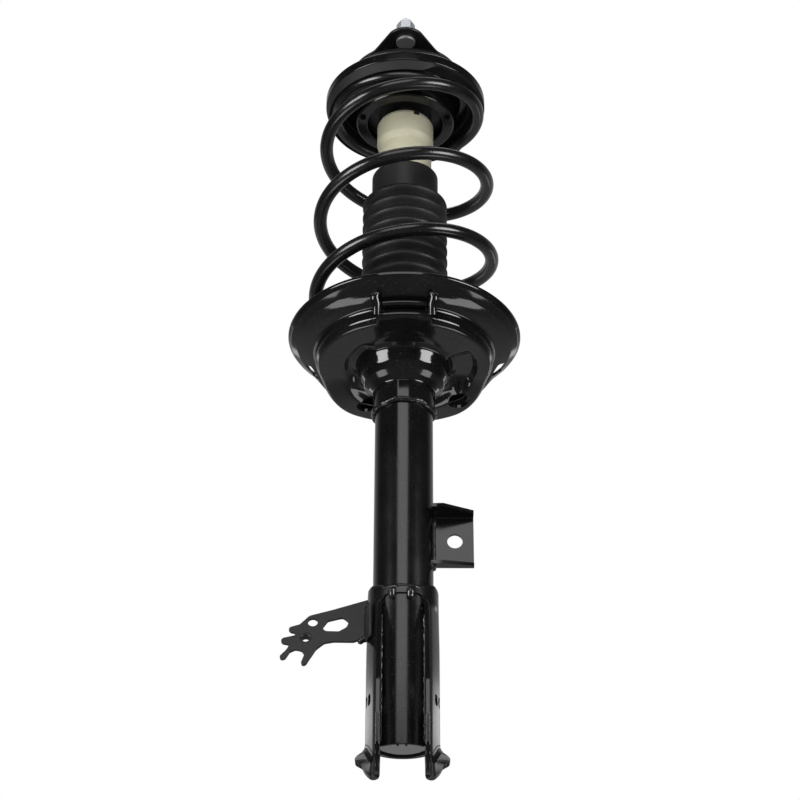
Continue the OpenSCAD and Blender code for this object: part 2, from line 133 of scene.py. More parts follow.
def bump(tree, bsdf, layers):
    """Stacks bumps, each (height output, depth in millimetres)."""
    normal = None
    for height, depth in layers:
        node = add(tree, "Bump")
        node.inputs["Strength"].default_value = 1.0
        node.inputs["Distance"].default_value = depth * MM
        tree.links.new(height, node.inputs["Height"])
        if normal is not None:
            tree.links.new(normal, node.inputs["Normal"])
        normal = node.outputs["Normal"]
    tree.links.new(normal, bsdf.inputs["Normal"])


DUST = 0.35
DUST_COLOUR = (0.12, 0.12, 0.125)


def paint(name, colour, rough, peel, orange):
    """Stoved or electro-dipped paint: orange peel, cloudy gloss and fine dust nibs."""
    mat, tree, bsdf, where = shader(name, rough)
    cloud = grain(tree, where, 0.03, 3)
    fine = grain(tree, where, 2.2, 1)
    nibs = remap(tree, grain(tree, where, 0.9, 0), 0, 1, 0.76, 0.82)
    tree.links.new(remap(tree, cloud, rough * 0.78, rough * 1.3), bsdf.inputs["Roughness"])
    lighter = tuple(c * 1.7 + 0.004 for c in colour)
    shade = mix(tree, remap(tree, cloud, 0, 0.6), colour, lighter)
    dusty = mix(tree, remap(tree, nibs, 0, DUST, 0, 1), shade, DUST_COLOUR)
    tree.links.new(dusty, bsdf.inputs["Base Color"])
    bump(tree, bsdf, [(grain(tree, where, orange, 2), peel), (fine, peel * 0.15), (nibs, 0.008)])
    return mat


def moulded(name, colour, rough, texture, depth, specular):
    """Moulded rubber or plastic: a fine sandy skin with slightly uneven shade."""
    mat, tree, bsdf, where = shader(name, rough, specular=specular)
    cloud = grain(tree, where, 0.05, 3)
    skin = grain(tree, where, texture, 3, 0.6)
    tree.links.new(remap(tree, cloud, rough * 0.85, rough * 1.15), bsdf.inputs["Roughness"])
    lighter = tuple(c * 1.35 for c in colour)
    tree.links.new(mix(tree, remap(tree, skin, 0, 1), colour, lighter), bsdf.inputs["Base Color"])
    bump(tree, bsdf, [(skin, depth), (cloud, depth * 4)])
    return mat


def foam(name, colour):
    """Cast cellular polyurethane: a smooth skin with pinholes darkened as painted shade, and faint mould
    flow.
    """
    mat, tree, bsdf, where = shader(name, 0.42, specular=0.45)
    bsdf.inputs["Subsurface Weight"].default_value = 0.12
    bsdf.inputs["Subsurface Radius"].default_value = (1.0, 0.8, 0.5)
    bsdf.inputs["Subsurface Scale"].default_value = 0.002
    cells = add(tree, "TexVoronoi")
    cells.inputs["Scale"].default_value = 900
    tree.links.new(where, cells.inputs["Vector"])
    flow = grain(tree, where, 0.06, 3, stretch=(1, 1, 2.5))
    pits = remap(tree, cells.outputs["Distance"], 0, 1, 0.05, 0.2)
    darker = tuple(c * 0.9 for c in colour)
    shade = mix(tree, remap(tree, flow, 0, 1), darker, colour)
    # The pinholes are painted a darker cream: painted shade inside them
    tree.links.new(mix(tree, pits, tuple(c * 0.8 for c in colour), shade), bsdf.inputs["Base Color"])
    tree.links.new(remap(tree, flow, 0.36, 0.55), bsdf.inputs["Roughness"])
    bump(tree, bsdf, [(pits, 0.01), (flow, 0.05)])
    return mat


def metal(name, colour, rough, lay=(1, 1, 1), depth=0.003, tint=None, share=1.0):
    """Bare or plated metal: tool or polishing lay, uneven shine and light tarnish."""
    mat, tree, bsdf, where = shader(name, rough, metal=share)
    lay_marks = grain(tree, where, 1.2, 3, 0.6, lay)
    cloud = grain(tree, where, 0.12, 3)
    tree.links.new(remap(tree, cloud, rough * 0.7, rough * 1.4), bsdf.inputs["Roughness"])
    other = tint or tuple(c * 0.72 for c in colour)
    tree.links.new(mix(tree, remap(tree, cloud, 0, 1), colour, other), bsdf.inputs["Base Color"])
    bump(tree, bsdf, [(lay_marks, depth)])
    return mat


MATS = {"bump_foam": foam("bump_foam", (0.86, 0.82, 0.6))}
# Paints: colour, roughness, depth of the orange peel in millimetres, its features a millimetre
for name, *look in (
        ("black_ecoat", (0.009, 0.009, 0.0095), 0.38, 0.005, 0.35),
        ("seat_ecoat", (0.005, 0.005, 0.0056), 0.09, 0.003, 0.18),
        ("tube_ecoat", (0.0035, 0.0035, 0.004), 0.17, 0.002, 0.3),
        ("bracket_ecoat", (0.0045, 0.0045, 0.005), 0.17, 0.003, 0.3),
        ("spring_coating", (0.008, 0.008, 0.0088), 0.2, 0.004, 0.45),
        ("hose_satin", (0.014, 0.014, 0.0147), 0.45, 0.008, 0.9),
        ("upper_paint", (0.004, 0.004, 0.0044), 0.14, 0.004, 0.4),
        # A light grey where the others are near black: painted light for the base cap's lit lower face
        ("cap_satin", (0.13, 0.13, 0.134), 0.3, 0.004, 0.4),
        ("weld", (0.01, 0.01, 0.0105), 0.18, 0.012, 0.6)):
    MATS[name] = paint(name, *look)
# Metals: colour, roughness, then what differs from plain polished metal
for name, colour, rough, look in (
        ("zinc", (0.78, 0.8, 0.84), 0.42, {"tint": (0.66, 0.69, 0.75), "share": 0.55}),
        ("stud_zinc", (0.84, 0.86, 0.9), 0.42, {"tint": (0.74, 0.77, 0.83), "share": 0.5}),
        ("bare_steel", (0.45, 0.45, 0.46), 0.35, {"lay": (1, 1, 6)}),
        ("polished_steel", (0.62, 0.62, 0.63), 0.12, {}),
        ("chrome_rod", (0.75, 0.76, 0.78), 0.08, {"lay": (1, 1, 12), "depth": 0.001}),
        ("bush_bronze", (0.42, 0.28, 0.14), 0.3, {"tint": (0.3, 0.2, 0.12)})):
    MATS[name] = metal(name, colour, rough, **look)
# Rubbers and plastics: colour, roughness, features a millimetre, their depth, specular level
for name, *look in (
        ("mount_rubber", (0.018, 0.018, 0.018), 0.7, 0.9, 0.02, 0.4),
        ("insulator_rubber", (0.009, 0.009, 0.009), 0.6, 0.9, 0.02, 0.4),
        ("boot_rubber", (0.011, 0.011, 0.0118), 0.5, 1.1, 0.012, 0.4),
        ("bearing_plastic", (0.008, 0.008, 0.0085), 0.7, 1.4, 0.008, 0.25),
        ("cage_plastic", (0.6, 0.6, 0.55), 0.45, 1.2, 0.006, 0.4),
        ("band_plastic", (0.1, 0.05, 0.03), 0.45, 1.2, 0.006, 0.4)):
    MATS[name] = moulded(name, *look)

# The studs' heads are a darker grey than their threads
tree = MATS["stud_zinc"].node_tree
bsdf = tree.nodes["Principled BSDF"]
plated = bsdf.inputs["Base Color"].links[0].from_socket
split = add(tree, "SeparateXYZ")
tree.links.new(add(tree, "TexCoord").outputs["Object"], split.inputs[0])
above = remap(tree, split.outputs["Z"], 0, 1, -0.0031, -0.0027)
tree.links.new(mix(tree, above, (0.32, 0.32, 0.335), plated), bsdf.inputs["Base Color"])

# Every CAD node gets its own slot's finish
slots = set()
for entry in frame["record"].get("materials", []):
    slots.add(entry.get("slot"))
    for member in entry.get("nodes", []):
        if member in nodes and entry.get("slot") in MATS:
            nodes[member].data.materials.clear()
            nodes[member].data.materials.append(MATS[entry["slot"]])


# ---------------- mesh helpers
SIDES = (("right", 1), ("left", -1))
NEARLY_STRAIGHT = 1.55
MOST_OF_EDGE = 0.48


def corners(points, steps=5, closed=True):
    """(x, y) or (x, y, fillet radius) corners as a finely stepped outline."""
    out = []
    count = len(points)
    for i, point in enumerate(points):
        here = Vector(point[:2])
        radius = point[2] if len(point) > 2 else 0
        if radius <= 0 or (not closed and i in (0, count - 1)):
            out.append(tuple(here))
            continue
        back = Vector(points[i - 1][:2]) - here
        on = Vector(points[(i + 1) % count][:2]) - here
        half = back.angle(on) / 2
        if half > NEARLY_STRAIGHT:
            out.append(tuple(here))
            continue
        cut = min(radius / tan(half), back.length * MOST_OF_EDGE, on.length * MOST_OF_EDGE)
        start, end = here + back.normalized() * cut, here + on.normalized() * cut
        centre = here + (back.normalized() + on.normalized()).normalized() * (cut / cos(half))
        arm = start - centre
        turn = arm.angle_signed(end - centre)
        for k in range(steps + 1):
            swung = Matrix.Rotation(-turn * k / steps, 2) @ arm
            out.append(tuple(centre + swung))
    return out


def opened(mesh, distance):
    """The mesh ready to edit, with doubled points joined and its faces turned outwards."""
    bm = bmesh.new()
    bm.from_mesh(mesh)
    bmesh.ops.remove_doubles(bm, verts=bm.verts, dist=distance)
    bmesh.ops.recalc_face_normals(bm, faces=bm.faces)
    return bm


def put_back(bm, mesh):
    """Writes the edited mesh back."""
    bm.to_mesh(mesh)
    bm.free()


def finish_mesh(name, mesh, body, material, sharp=38, slot=None, stands_for=()):
    """Links a mesh already in metres, smooths it up to the sharp angle, and puts it on its body."""
    bm = opened(mesh, 1e-6)
    for face in bm.faces:
        face.smooth = True
    for edge in bm.edges:
        if len(edge.link_faces) == 2:
            edge.smooth = edge.calc_face_angle(0) < radians(sharp)
    put_back(bm, mesh)
    mesh.materials.clear()
    mesh.materials.append(MATS[material])
    piece = bpy.data.objects.new(name, mesh)
    scene.collection.objects.link(piece)
    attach(piece, body)
    if stands_for:
        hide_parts(*stands_for)
    return piece


def new_mesh(name, points, faces):
    """A mesh from points in millimetres."""
    mesh = bpy.data.meshes.new(name)
    mesh.from_pydata([tuple(c * MM for c in p) for p in points], [], faces)
    return mesh


def build(name, points, faces, body, material, **rest):
    return finish_mesh(name, new_mesh(name, points, faces), body, material, **rest)


def at_angle(r, turn, *z):
    """The point at radius r and a turn in degrees, with z after it if given."""
    t = radians(turn)
    return (r * cos(t), r * sin(t), *z)


def smooth(low, high, x):
    t = min(1.0, max(0.0, (x - low) / (high - low)))
    return t * t * (3 - 2 * t)


def degrees_off(a, middle):
    return (degrees(a) - middle + 180) % 360 - 180


def grid_faces(rows, columns, wrap_rows=False):
    """Faces between rows of points, each row closed on itself."""
    faces = []
    for i in range(rows if wrap_rows else rows - 1):
        for j in range(columns):
            a, b = i * columns + j, i * columns + (j + 1) % columns
            ni = (i + 1) % rows
            faces.append((a, b, ni * columns + (j + 1) % columns, ni * columns + j))
    return faces


def tube_faces(rows, columns):
    """Faces of a closed tube: the wall between its rows, and a cap at each end."""
    ends = [tuple(range(columns))[::-1], tuple(range((rows - 1) * columns, rows * columns))]
    return grid_faces(rows, columns) + ends


def weighted(piece):
    """Keeps the flats flat beside their rounded edges."""
    mod = piece.modifiers.new("flat_normals", "WEIGHTED_NORMAL")
    mod.keep_sharp = True
    return piece


def revolved(loop, count=180, warp=None):
    """A closed (r, z) outline turned round Z. warp may move each (r, angle, z)."""
    points, n = [], len(loop)
    for j in range(count):
        a = 2 * pi * j / count
        for r, z in loop:
            rr, aa, zz = warp(r, a, z) if warp else (r, a, z)
            points.append((rr * cos(aa), rr * sin(aa), zz))
    return points, grid_faces(count, n, wrap_rows=True)


def turned(name, loop, body, material, count=180, warp=None, fine=5, **rest):
    points, faces = revolved(corners(loop, fine), count, warp)
    return weighted(build(name, points, faces, body, material, **rest))


def bevel(piece, width, segments=2, angle=40):
    mod = piece.modifiers.new("edge_radius", "BEVEL")
    mod.width = width * MM
    mod.segments = segments
    mod.limit_method = "ANGLE"
    mod.angle_limit = radians(angle)
    mod.use_clamp_overlap = True
    return weighted(piece)


def loose(name, points, faces):
    """An object in millimetres for the booleans, not linked to the record."""
    mesh = new_mesh(name, points, faces)
    put_back(opened(mesh, 1e-7), mesh)
    thing = bpy.data.objects.new(name, mesh)
    scene.collection.objects.link(thing)
    return thing


def prism(name, outline, low, high, place=None):
    """A straight prism over an (x, y) outline between two heights, then moved by place."""
    n = len(outline)
    points = [(x, y, low) for x, y in outline] + [(x, y, high) for x, y in outline]
    if place is not None:
        points = [tuple(place @ Vector(p)) for p in points]
    faces = [tuple(range(n))[::-1], tuple(range(n, 2 * n))]
    faces += [(i, (i + 1) % n, n + (i + 1) % n, n + i) for i in range(n)]
    return loose(name, points, faces)


def circle(x, y, r, count=40):
    ring = [at_angle(r, 360.0 * i / count) for i in range(count)]
    return [(x + dx, y + dy) for dx, dy in ring]


def combine(base, others, operation="DIFFERENCE"):
    """Applies exact booleans one by one and removes the other objects."""
    for other in others:
        mod = base.modifiers.new("cut", "BOOLEAN")
        mod.operation = operation
        mod.object = other
        mod.solver = "EXACT"
        dg = bpy.context.evaluated_depsgraph_get()
        result = bpy.data.meshes.new_from_object(base.evaluated_get(dg))
        base.modifiers.clear()
        base.data = result
        bpy.data.objects.remove(other)
    return base


def adopt(thing, name, body, material, **rest):
    """Turns a loose object into a finished piece."""
    mesh = thing.data
    bpy.data.objects.remove(thing)
    return finish_mesh(name, mesh, body, material, **rest)


def swept(path, radius, sides):
    """A round tube along points; radius may be a function of the distance along. Ends are closed."""
    points = []
    count = len(path)
    lengths = [0.0]
    for a, b in zip(path, path[1:]):
        lengths.append(lengths[-1] + (Vector(b) - Vector(a)).length)
    guide = None
    for i, p in enumerate(path):
        p = Vector(p)
        a, b = Vector(path[max(0, i - 1)]), Vector(path[min(count - 1, i + 1)])
        along = (b - a).normalized()
        if guide is None:
            guide = along.orthogonal().normalized()
        guide = (guide - along * guide.dot(along)).normalized()
        across = along.cross(guide)
        r = radius(lengths[i]) if callable(radius) else radius
        for j in range(sides):
            a = 2 * pi * j / sides
            points.append(tuple(p + (guide * cos(a) + across * sin(a)) * r))
    return points, tube_faces(count, sides)


def weld_bead(name, path, radius, seed, pitch=2.2):
    """A ripple-faced weld bead along a path, wandering a little as a real one does."""
    fine = []
    for a, b in zip(path, path[1:]):
        a, b = Vector(a), Vector(b)
        steps = max(1, int((b - a).length / 0.5))
        fine += [a.lerp(b, k / steps) for k in range(steps)]
    fine.append(Vector(path[-1]))
    wandering = [p + Vector(noise.noise_vector(p * 0.16 + Vector((seed, 0, 0)))) * radius * 0.22
                 for p in fine]
    total = sum((b - a).length for a, b in zip(wandering, wandering[1:]))

    def size(at):
        uneven = 0.8 * noise.noise(Vector((at * 0.1, 0, seed)))
        ripple = 0.5 + 0.5 * cos(2 * pi * (at / pitch + uneven))
        ends = min(1.0, 0.45 + at / 3, 0.45 + (total - at) / 3)
        slow = noise.noise(Vector((at * 0.12, seed, 0)))
        return radius * (0.9 + 0.07 * ripple + 0.3 * slow) * ends

    build(name, *swept(wandering, size, 14), "strut_tube", "weld", sharp=60)


def inside(p, loop):
    """Whether a flat point lies inside a closed outline."""
    hit = False
    for i, a in enumerate(loop):
        b = loop[i - 1]
        if (a[1] > p[1]) != (b[1] > p[1]):
            if p[0] < (b[0] - a[0]) * (p[1] - a[1]) / (b[1] - a[1]) + a[0]:
                hit = not hit
    return hit


def traced(loops):
    """The points of all loops in one list, and the edges that join each loop."""
    verts, edges = [], []
    for loop in loops:
        first = len(verts)
        verts += loop
        edges += [(first + i, first + (i + 1) % len(loop)) for i in range(len(loop))]
    return verts, edges


def triangles(verts, edges, outline, holes):
    """Flat points and the triangles between them, inside the outline and outside its holes."""
    out = delaunay_2d_cdt(verts, edges, [], 1, 1e-5)
    kept = []
    for tri in out[2]:
        middle = (out[0][tri[0]] + out[0][tri[1]] + out[0][tri[2]]) / 3
        if inside(middle, outline) and not any(inside(middle, hole) for hole in holes):
            kept.append(tuple(tri))
    return out[0], kept


def two_skins(tris, n):
    """Faces of a sheet whose second skin has the same n points: both skins and the walls at its edges."""
    faces, sides = [], {}
    for tri in tris:
        faces.append(tuple(tri)[::-1])
        faces.append(tuple(i + n for i in tri))
        for i, a in enumerate(tri):
            b = tri[(i + 1) % len(tri)]
            if (b, a) in sides:
                del sides[(b, a)]
            else:
                sides[(a, b)] = True
    return faces + [(a, b, b + n, a + n) for a, b in sides]


def plate(name, outline, holes, thick, place, body, material, edge, **rest):
    """A flat sheet over an outline with holes, thickness towards the plane's +Z, with softened edges."""
    verts, edges = traced([[Vector(p) for p in loop] for loop in (outline, *holes)])
    flat, tris = triangles(verts, edges, outline, holes)
    points = [tuple(place @ Vector((v.x, v.y, z))) for z in (0, thick) for v in flat]
    piece = build(name, points, two_skins(tris, len(flat)), body, material, **rest)
    return bevel(piece, edge, 3, 50)


def spread(verts, outline, gap):
    """Points over the outline's box, about a gap apart and not too close to those already there."""
    us = [p[0] for p in outline]
    vs = [p[1] for p in outline]
    cells = {}
    for v in verts:
        cells.setdefault((int(v.x // gap), int(v.y // gap)), []).append(v)
    out = []
    row = 0
    u = min(us) + gap * 0.5
    while u < max(us):
        v = min(vs) + gap * (0.5 if row % 2 else 0.9)
        while v < max(vs):
            p = Vector((u, v))
            cell = (int(u // gap), int(v // gap))
            near = [q for i in (-1, 0, 1) for j in (-1, 0, 1)
                    for q in cells.get((cell[0] + i, cell[1] + j), ())]
            if all((p - q).length > gap * 0.55 for q in near):
                out.append(p)
            v += gap
        u += gap
        row += 1
    return out


def bent_sheet(name, outline, holes, fold, thick, body, material, gap, edge, **rest):
    """Sheet metal cut flat, folded and mirrored across X; fold(u, v) gives a point of its mid plane."""
    loops = []
    for loop in (outline, *holes):
        stepped = []
        for i, a in enumerate(loop):
            a, b = Vector(a), Vector(loop[(i + 1) % len(loop)])
            steps = max(1, round((b - a).length / gap))
            stepped += [a.lerp(b, k / steps) for k in range(steps)]
        loops.append(stepped)
    verts, edges = traced(loops)
    verts += spread(verts, outline, gap)
    flat, tris = triangles(verts, edges, outline, holes)
    mids, norms = [], []
    e = 0.05
    for p in flat:
        du = Vector(fold(p.x + e, p.y)) - Vector(fold(p.x - e, p.y))
        dv = Vector(fold(p.x, p.y + e)) - Vector(fold(p.x, p.y - e))
        mids.append(Vector(fold(p.x, p.y)))
        norms.append(du.cross(dv).normalized())
    points = [tuple(m + k * side * thick / 2) for side in (-1, 1) for m, k in zip(mids, norms)]
    faces = two_skins(tris, len(flat))
    faces += [tuple(reversed([i + len(points) for i in f])) for f in faces]
    points += [(-x, y, z) for x, y, z in points]
    mesh = new_mesh(name, points, faces)
    bm = bmesh.new()
    bm.from_mesh(mesh)
    seam = [v for v in bm.verts if abs(v.co.x) < 2e-5]
    for v in seam:
        v.co.x = 0
    bmesh.ops.remove_doubles(bm, verts=seam, dist=2e-5)
    inner = [f for f in bm.faces if all(abs(v.co.x) < 1e-7 for v in f.verts)]
    bmesh.ops.delete(bm, geom=inner, context="FACES")
    put_back(bm, mesh)
    return bevel(finish_mesh(name, mesh, body, material, **rest), edge, 2, 60)


# ---------------- mount plate, studs and nuts
STUD_R = 60.0
STUD_ANGLES = (-90, 30, 150)
LOBE_R = 17.5
BODY_R = 52.7
SIDE_R = 47.5
FLANGE_R, HUB_R = 78, 46


def plate_radius(angle):
    """Distance from the centre to the plate's outline: three lobes, straight sides, round body."""
    best = BODY_R
    for middle in STUD_ANGLES:
        off = degrees_off(angle, middle)
        if abs(off) < 60:
            s = radians(off)
            root = LOBE_R ** 2 - (STUD_R * sin(s)) ** 2
            side = SIDE_R / cos(radians(60) - abs(s))
            if root > 0:
                arc = STUD_R * cos(s) + sqrt(root)
                turn = degrees(atan2(arc * sin(abs(s)), arc * cos(s) - STUD_R))
                best = max(best, arc if turn <= 60 else side)
            else:
                best = max(best, side)
    return best


COUNT = 360
raw = [plate_radius(2 * pi * j / COUNT) for j in range(COUNT)]
outline_r = [sum(raw[(j + k) % COUNT] for k in range(-3, 4)) / 7 if abs(raw[j] - BODY_R) < 2.5 else raw[j]
             for j in range(COUNT)]
plate_loop = corners([
    (44.5, -3, 2), (FLANGE_R, -3, 1.1), (FLANGE_R, 0, 1.1), (44, 0, 2.5), (39, 7, 2.5), (24, 7, 1),
    (24, 4, 1), (37.2, 4, 2), (42, -3, 1.5)], 5)


def plate_warp(r, a, z):
    """Pulls the round flange in to the three-lobed outline, and keeps its rounded rim as it is."""
    if r <= HUB_R:
        return r, a, z
    edge = outline_r[round(a / (2 * pi) * COUNT) % COUNT]
    reach = FLANGE_R - r
    if reach < 1.2:
        return edge - reach, a, z
    return HUB_R + (r - HUB_R) * (edge - HUB_R) / (FLANGE_R - HUB_R), a, z


points, faces = revolved(plate_loop, COUNT, plate_warp)
pressing = loose("plate", points, faces)
for angle in STUD_ANGLES:
    combine(pressing, [prism("hole", circle(*at_angle(STUD_R, angle), 5.55, 48), -8, 5)])
weighted(adopt(pressing, "mount_plate_pressing", "mount", "black_ecoat", stands_for=("mount_plate",)))


def thread_radius(root, crest, pitch):
    """Radius of a 60 degree thread at an angle and a height."""
    def radius(a, z):
        phase = (z / pitch - a / (2 * pi)) % 1
        return root + (crest - root) * min(1, max(0, 1.35 * (1 - abs(2 * phase - 1)) - 0.1))
    return radius


ROUND = 64


def rings(sections, count):
    """Points in rows of (radius or radius(angle, z), z) round Z."""
    points = []
    for r, z in sections:
        for j in range(count):
            a = 2 * pi * j / count
            rr = r(a, z) if callable(r) else r
            points.append((rr * cos(a), rr * sin(a), z))
    return points


def threaded(sections):
    """Rows round Z as a body closed at both ends."""
    return rings(sections, ROUND), tube_faces(len(sections), ROUND)


def thread_rows(radius, low, high, step=0.15):
    n = int((high - low) / step)
    return [(radius, low + (high - low) * i / n) for i in range(n + 1)]


stud_thread = thread_radius(4.3, 5.0, 1.5)
stud_rows = [(3.2, -5.75), (3.4, -5.95), (7.6, -6.0), (8.4, -5.85), (8.85, -5.45), (9.0, -4.9),
             (9.0, -3.5), (8.8, -3.12), (8.4, -3.0), (5.6, -3.0), (5.5, -2.9), (5.5, 0.0), (4.6, 0.35),
             (4.35, 1.0)]
stud_rows += thread_rows(stud_thread, 1.2, 20.8) + [(4.2, 21.3), (3.7, 21.9), (3.4, 22.0)]


def at_studs(points, faces):
    """The same shape at each of the three studs, turned with it."""
    all_points, all_faces = [], []
    for angle in STUD_ANGLES:
        turn = Matrix.Rotation(radians(angle), 4, "Z") @ Matrix.Translation((STUD_R, 0, 0))
        start = len(all_points)
        all_points += [tuple(turn @ Vector(p)) for p in points]
        all_faces += [tuple(i + start for i in f) for f in faces]
    return all_points, all_faces


weighted(build("press_studs", *at_studs(*threaded(stud_rows)), "mount", "stud_zinc", sharp=50,
               stands_for=("mount_studs",)))


def hex_nut(name, flats, low, high, bore, flange=None, chamfer=1.0):
    """A hexagon nut with turned corners and a bored, countersunk hole."""
    across = flats / 2 / cos(pi / 6)
    body = prism(name, [at_angle(across, 60 * i + 30) for i in range(6)], low, high)
    lower = [(across + 0.2, low)] if flange else [(across - chamfer * 1.4, low),
                                                  (across + 0.1, low + chamfer)]
    upper = [(across + 0.1, high - chamfer * 0.7), (across - chamfer * 1.6, high)]
    crown = [(0, low), *lower, *upper, (0, high)]
    combine(body, [loose("crown", rings(crown, 72), grid_faces(len(crown), 72))], "INTERSECT")
    if flange:
        ring = corners([(bore + 0.8, low - 1.5), (flange, low - 1.5, 0.5), (flange, low - 0.9, 0.5),
                        (flats / 2, low + 0.9, 1), (bore + 0.8, low + 0.9)], 4)
        combine(body, [loose("flange", *revolved(ring, 72))], "UNION")
    rows = [(bore + 1.2, low - 3), (bore + 1.2, low - 1.6), (bore, low - 0.4), (bore, high - 0.8),
            (bore + 0.9, high + 0.1), (bore + 0.9, high + 2)]
    return combine(body, [loose("bore", *threaded(rows))])


nut = hex_nut("nut", 15, 8.5, 16.5, 4.3, 9.0)
nut_points = [tuple(c / MM for c in v.co) for v in nut.data.vertices]
nut_faces = [tuple(p.vertices) for p in nut.data.polygons]
bpy.data.objects.remove(nut)
bevel(build("stud_flange_nuts", *at_studs(nut_points, nut_faces), "mount", "zinc", sharp=30,
            stands_for=("stud_nuts",)), 0.25, 2, 30)

# ---------------- rod end, its nut, washer and the rubber
rod_thread = thread_radius(6.25, 7.0, 1.5)
rod_rows = [(6.0, -368), (6.0, -330), (11.0, -330), (11.0, -55.1), (10.6, -54.5), (7.0, -54.5), (7.0, -14)]
rod_rows += thread_rows(rod_thread, -13.5, 14.0) + [(6.2, 14.5), (5.6, 15.0), (3.0, 15.0), (2.4, 14.2)]
weighted(build("rod_with_thread", *threaded(rod_rows), "mount", "chrome_rod", sharp=45,
               stands_for=("piston_rod",)))
top_nut = adopt(hex_nut("topnut", 21, 1.0, 12.0, 6.3, None, 1.6), "rod_top_nut", "mount", "zinc", sharp=30,
                stands_for=("rod_nut",))
bevel(top_nut, 0.3, 2, 30)
turned("rod_top_washer", [(7.0, -2), (17, -2, 0.6), (17, 1, 0.8), (7.0, 1)], "mount", "zinc",
       stands_for=("rod_washer",))
turned("mount_rubber_body", [(13.0, -43.5), (37.5, -43.5), (37.5, -4.6, 1), (33, -4, 2), (27, -12, 4),
                             (20, -6, 3), (13.0, -4, 1), (13.0, -23), (28, -23), (28, -27), (13.0, -27)],
       "mount", "mount_rubber", stands_for=("mount_rubber",))
turned("mount_cup_pressing", [(37.5, -3), (50.8, -3, 0.6), (50.8, -6, 0.8), (40, -6, 2), (40, -46, 4),
                              (24, -46, 1), (24, -43.5, 0.8), (37.5, -43.5, 2.5)],
       "mount", "black_ecoat", stands_for=("mount_cup",))

# ---------------- bearing housing and upper seat
turned("bearing_housing", [(43, -14), (43, -6, 0.5), (54, -6, 1.5), (62.5, -15, 3), (62.5, -22, 0.8),
                           (60.3, -22, 0.6), (60.3, -14, 2)],
       "mount", "bearing_plastic", stands_for=("bearing_upper_race",))
seat_loop = [(75.2, -37.5, 1.0), (75.2, -27, 2.0), (47.5, -27, 3), (43.5, -52.5, 2.0),
             (35.5, -52.5, 0.6), (35.5, -55, 1.1), (46, -55, 2.2), (50, -29.5, 3.2), (72.8, -29.5, 2.0),
             (72.8, -37.5, 0.8)]
turned("upper_seat_pressing", seat_loop, "upper_seat", "upper_paint", count=240, fine=7,
       stands_for=("upper_seat",))


def skirt_warp(r, a, z):
    """The rubber skirt hugs the closed coil, and is cut back where the coil runs out of the seat."""
    if z < -37.6:
        away = abs(degrees_off(a, -18))
        z = -37.6 + (z + 37.6) * (0.04 + 0.96 * smooth(46, 62, away))
    return r, a, z


turned("upper_insulator_ring",
       [(75.0, -37.6, 0.4), (72.5, -47.0, 1.0), (71.0, -46.4, 0.8), (72.2, -39.0, 1.5), (70.5, -35.75, 1.0),
        (58.5, -35.75, 1.2), (58.5, -29.6, 0.8), (72.6, -29.6, 1.2), (72.6, -37.6, 0.4)],
       "upper_seat", "insulator_rubber", warp=skirt_warp, stands_for=("upper_insulator",))
for side, sign in SIDES:
    tab = prism("tab", corners([(-2.6, -1.6, 0.7), (2.6, -1.6, 0.7), (2.6, 1.6, 0.7), (-2.6, 1.6, 0.7)], 4),
                -58.4, -54.4, Matrix.Rotation(radians(-90 + sign * 74), 4, "Z")
                @ Matrix.Translation((41.5, 0, 0)))
    bevel(adopt(tab, f"seat_clip_tab_{side}", "upper_seat", "upper_paint"), 0.5, 3, 40)

# ---------------- coil spring
WIRE_R = 6.15
TOP_Z, BOTTOM_Z, RISE, BEND = -42.0, -294.8, 84.0, 0.15
LAST = (TOP_Z - BOTTOM_Z) / RISE
TURN_START, TURN_END = -0.81, LAST + 0.72
COIL_R = [(-0.8, 63.5), (-0.3, 66), (0, 68), (0.5, 74), (1.25, 77), (2.25, 79.5), (LAST, 80)]
END_DROP = 7.0


def soft_ramp(x):
    return 0 if x < -BEND else x if x > BEND else (x + BEND) ** 2 / (4 * BEND)


def coil_radius(u):
    if u <= COIL_R[0][0]:
        return COIL_R[0][1]
    for (u0, r0), (u1, r1) in zip(COIL_R, COIL_R[1:]):
        if u <= u1:
            return r0 + (r1 - r0) * (u - u0) / (u1 - u0)
    return COIL_R[-1][1]


def coil_point(u):
    z = TOP_Z - RISE * (soft_ramp(u) - soft_ramp(u - LAST)) - END_DROP * smooth(-0.42, -0.82, u)
    r = sum(coil_radius(u + k * 0.03) for k in range(-3, 4)) / 7
    a = -2 * pi * u
    return Vector((r * cos(a), r * sin(a), z))


def coil_mesh(rings_along=900, sides=32, ends=4):
    """The wire round the coil's line, with softly rounded ends."""
    points = []
    for i in range(-ends, rings_along + 1 + ends):
        share = min(max(i, 0), rings_along) / rings_along
        u = TURN_START + (TURN_END - TURN_START) * share
        centre = coil_point(u)
        along = (coil_point(u + 0.002) - coil_point(u - 0.002)).normalized()
        over = max(-i, i - rings_along, 0) / ends
        shrink = 1 - 0.14 * (1 - cos(over * pi / 2)) if over < 1 else 0.86
        centre = centre + along * (0.8 * sin(over * pi / 2) * (-1 if i < 0 else 1))
        out = Vector((cos(-2 * pi * u), sin(-2 * pi * u), 0))
        side = (out - along * out.dot(along)).normalized()
        up = along.cross(side)
        for j in range(sides):
            t = 2 * pi * j / sides
            points.append(tuple(centre + (side * cos(t) + up * sin(t)) * WIRE_R * shrink))
    return points, tube_faces(rings_along + 1 + 2 * ends, sides)


spring = build("spring_coil", *coil_mesh(), "upper_seat", "spring_coating", sharp=50,
               stands_for=("coil_spring",))


def squash(piece):
    """Gives the piece its own copy of its mesh."""
    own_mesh(piece)


squash(spring)

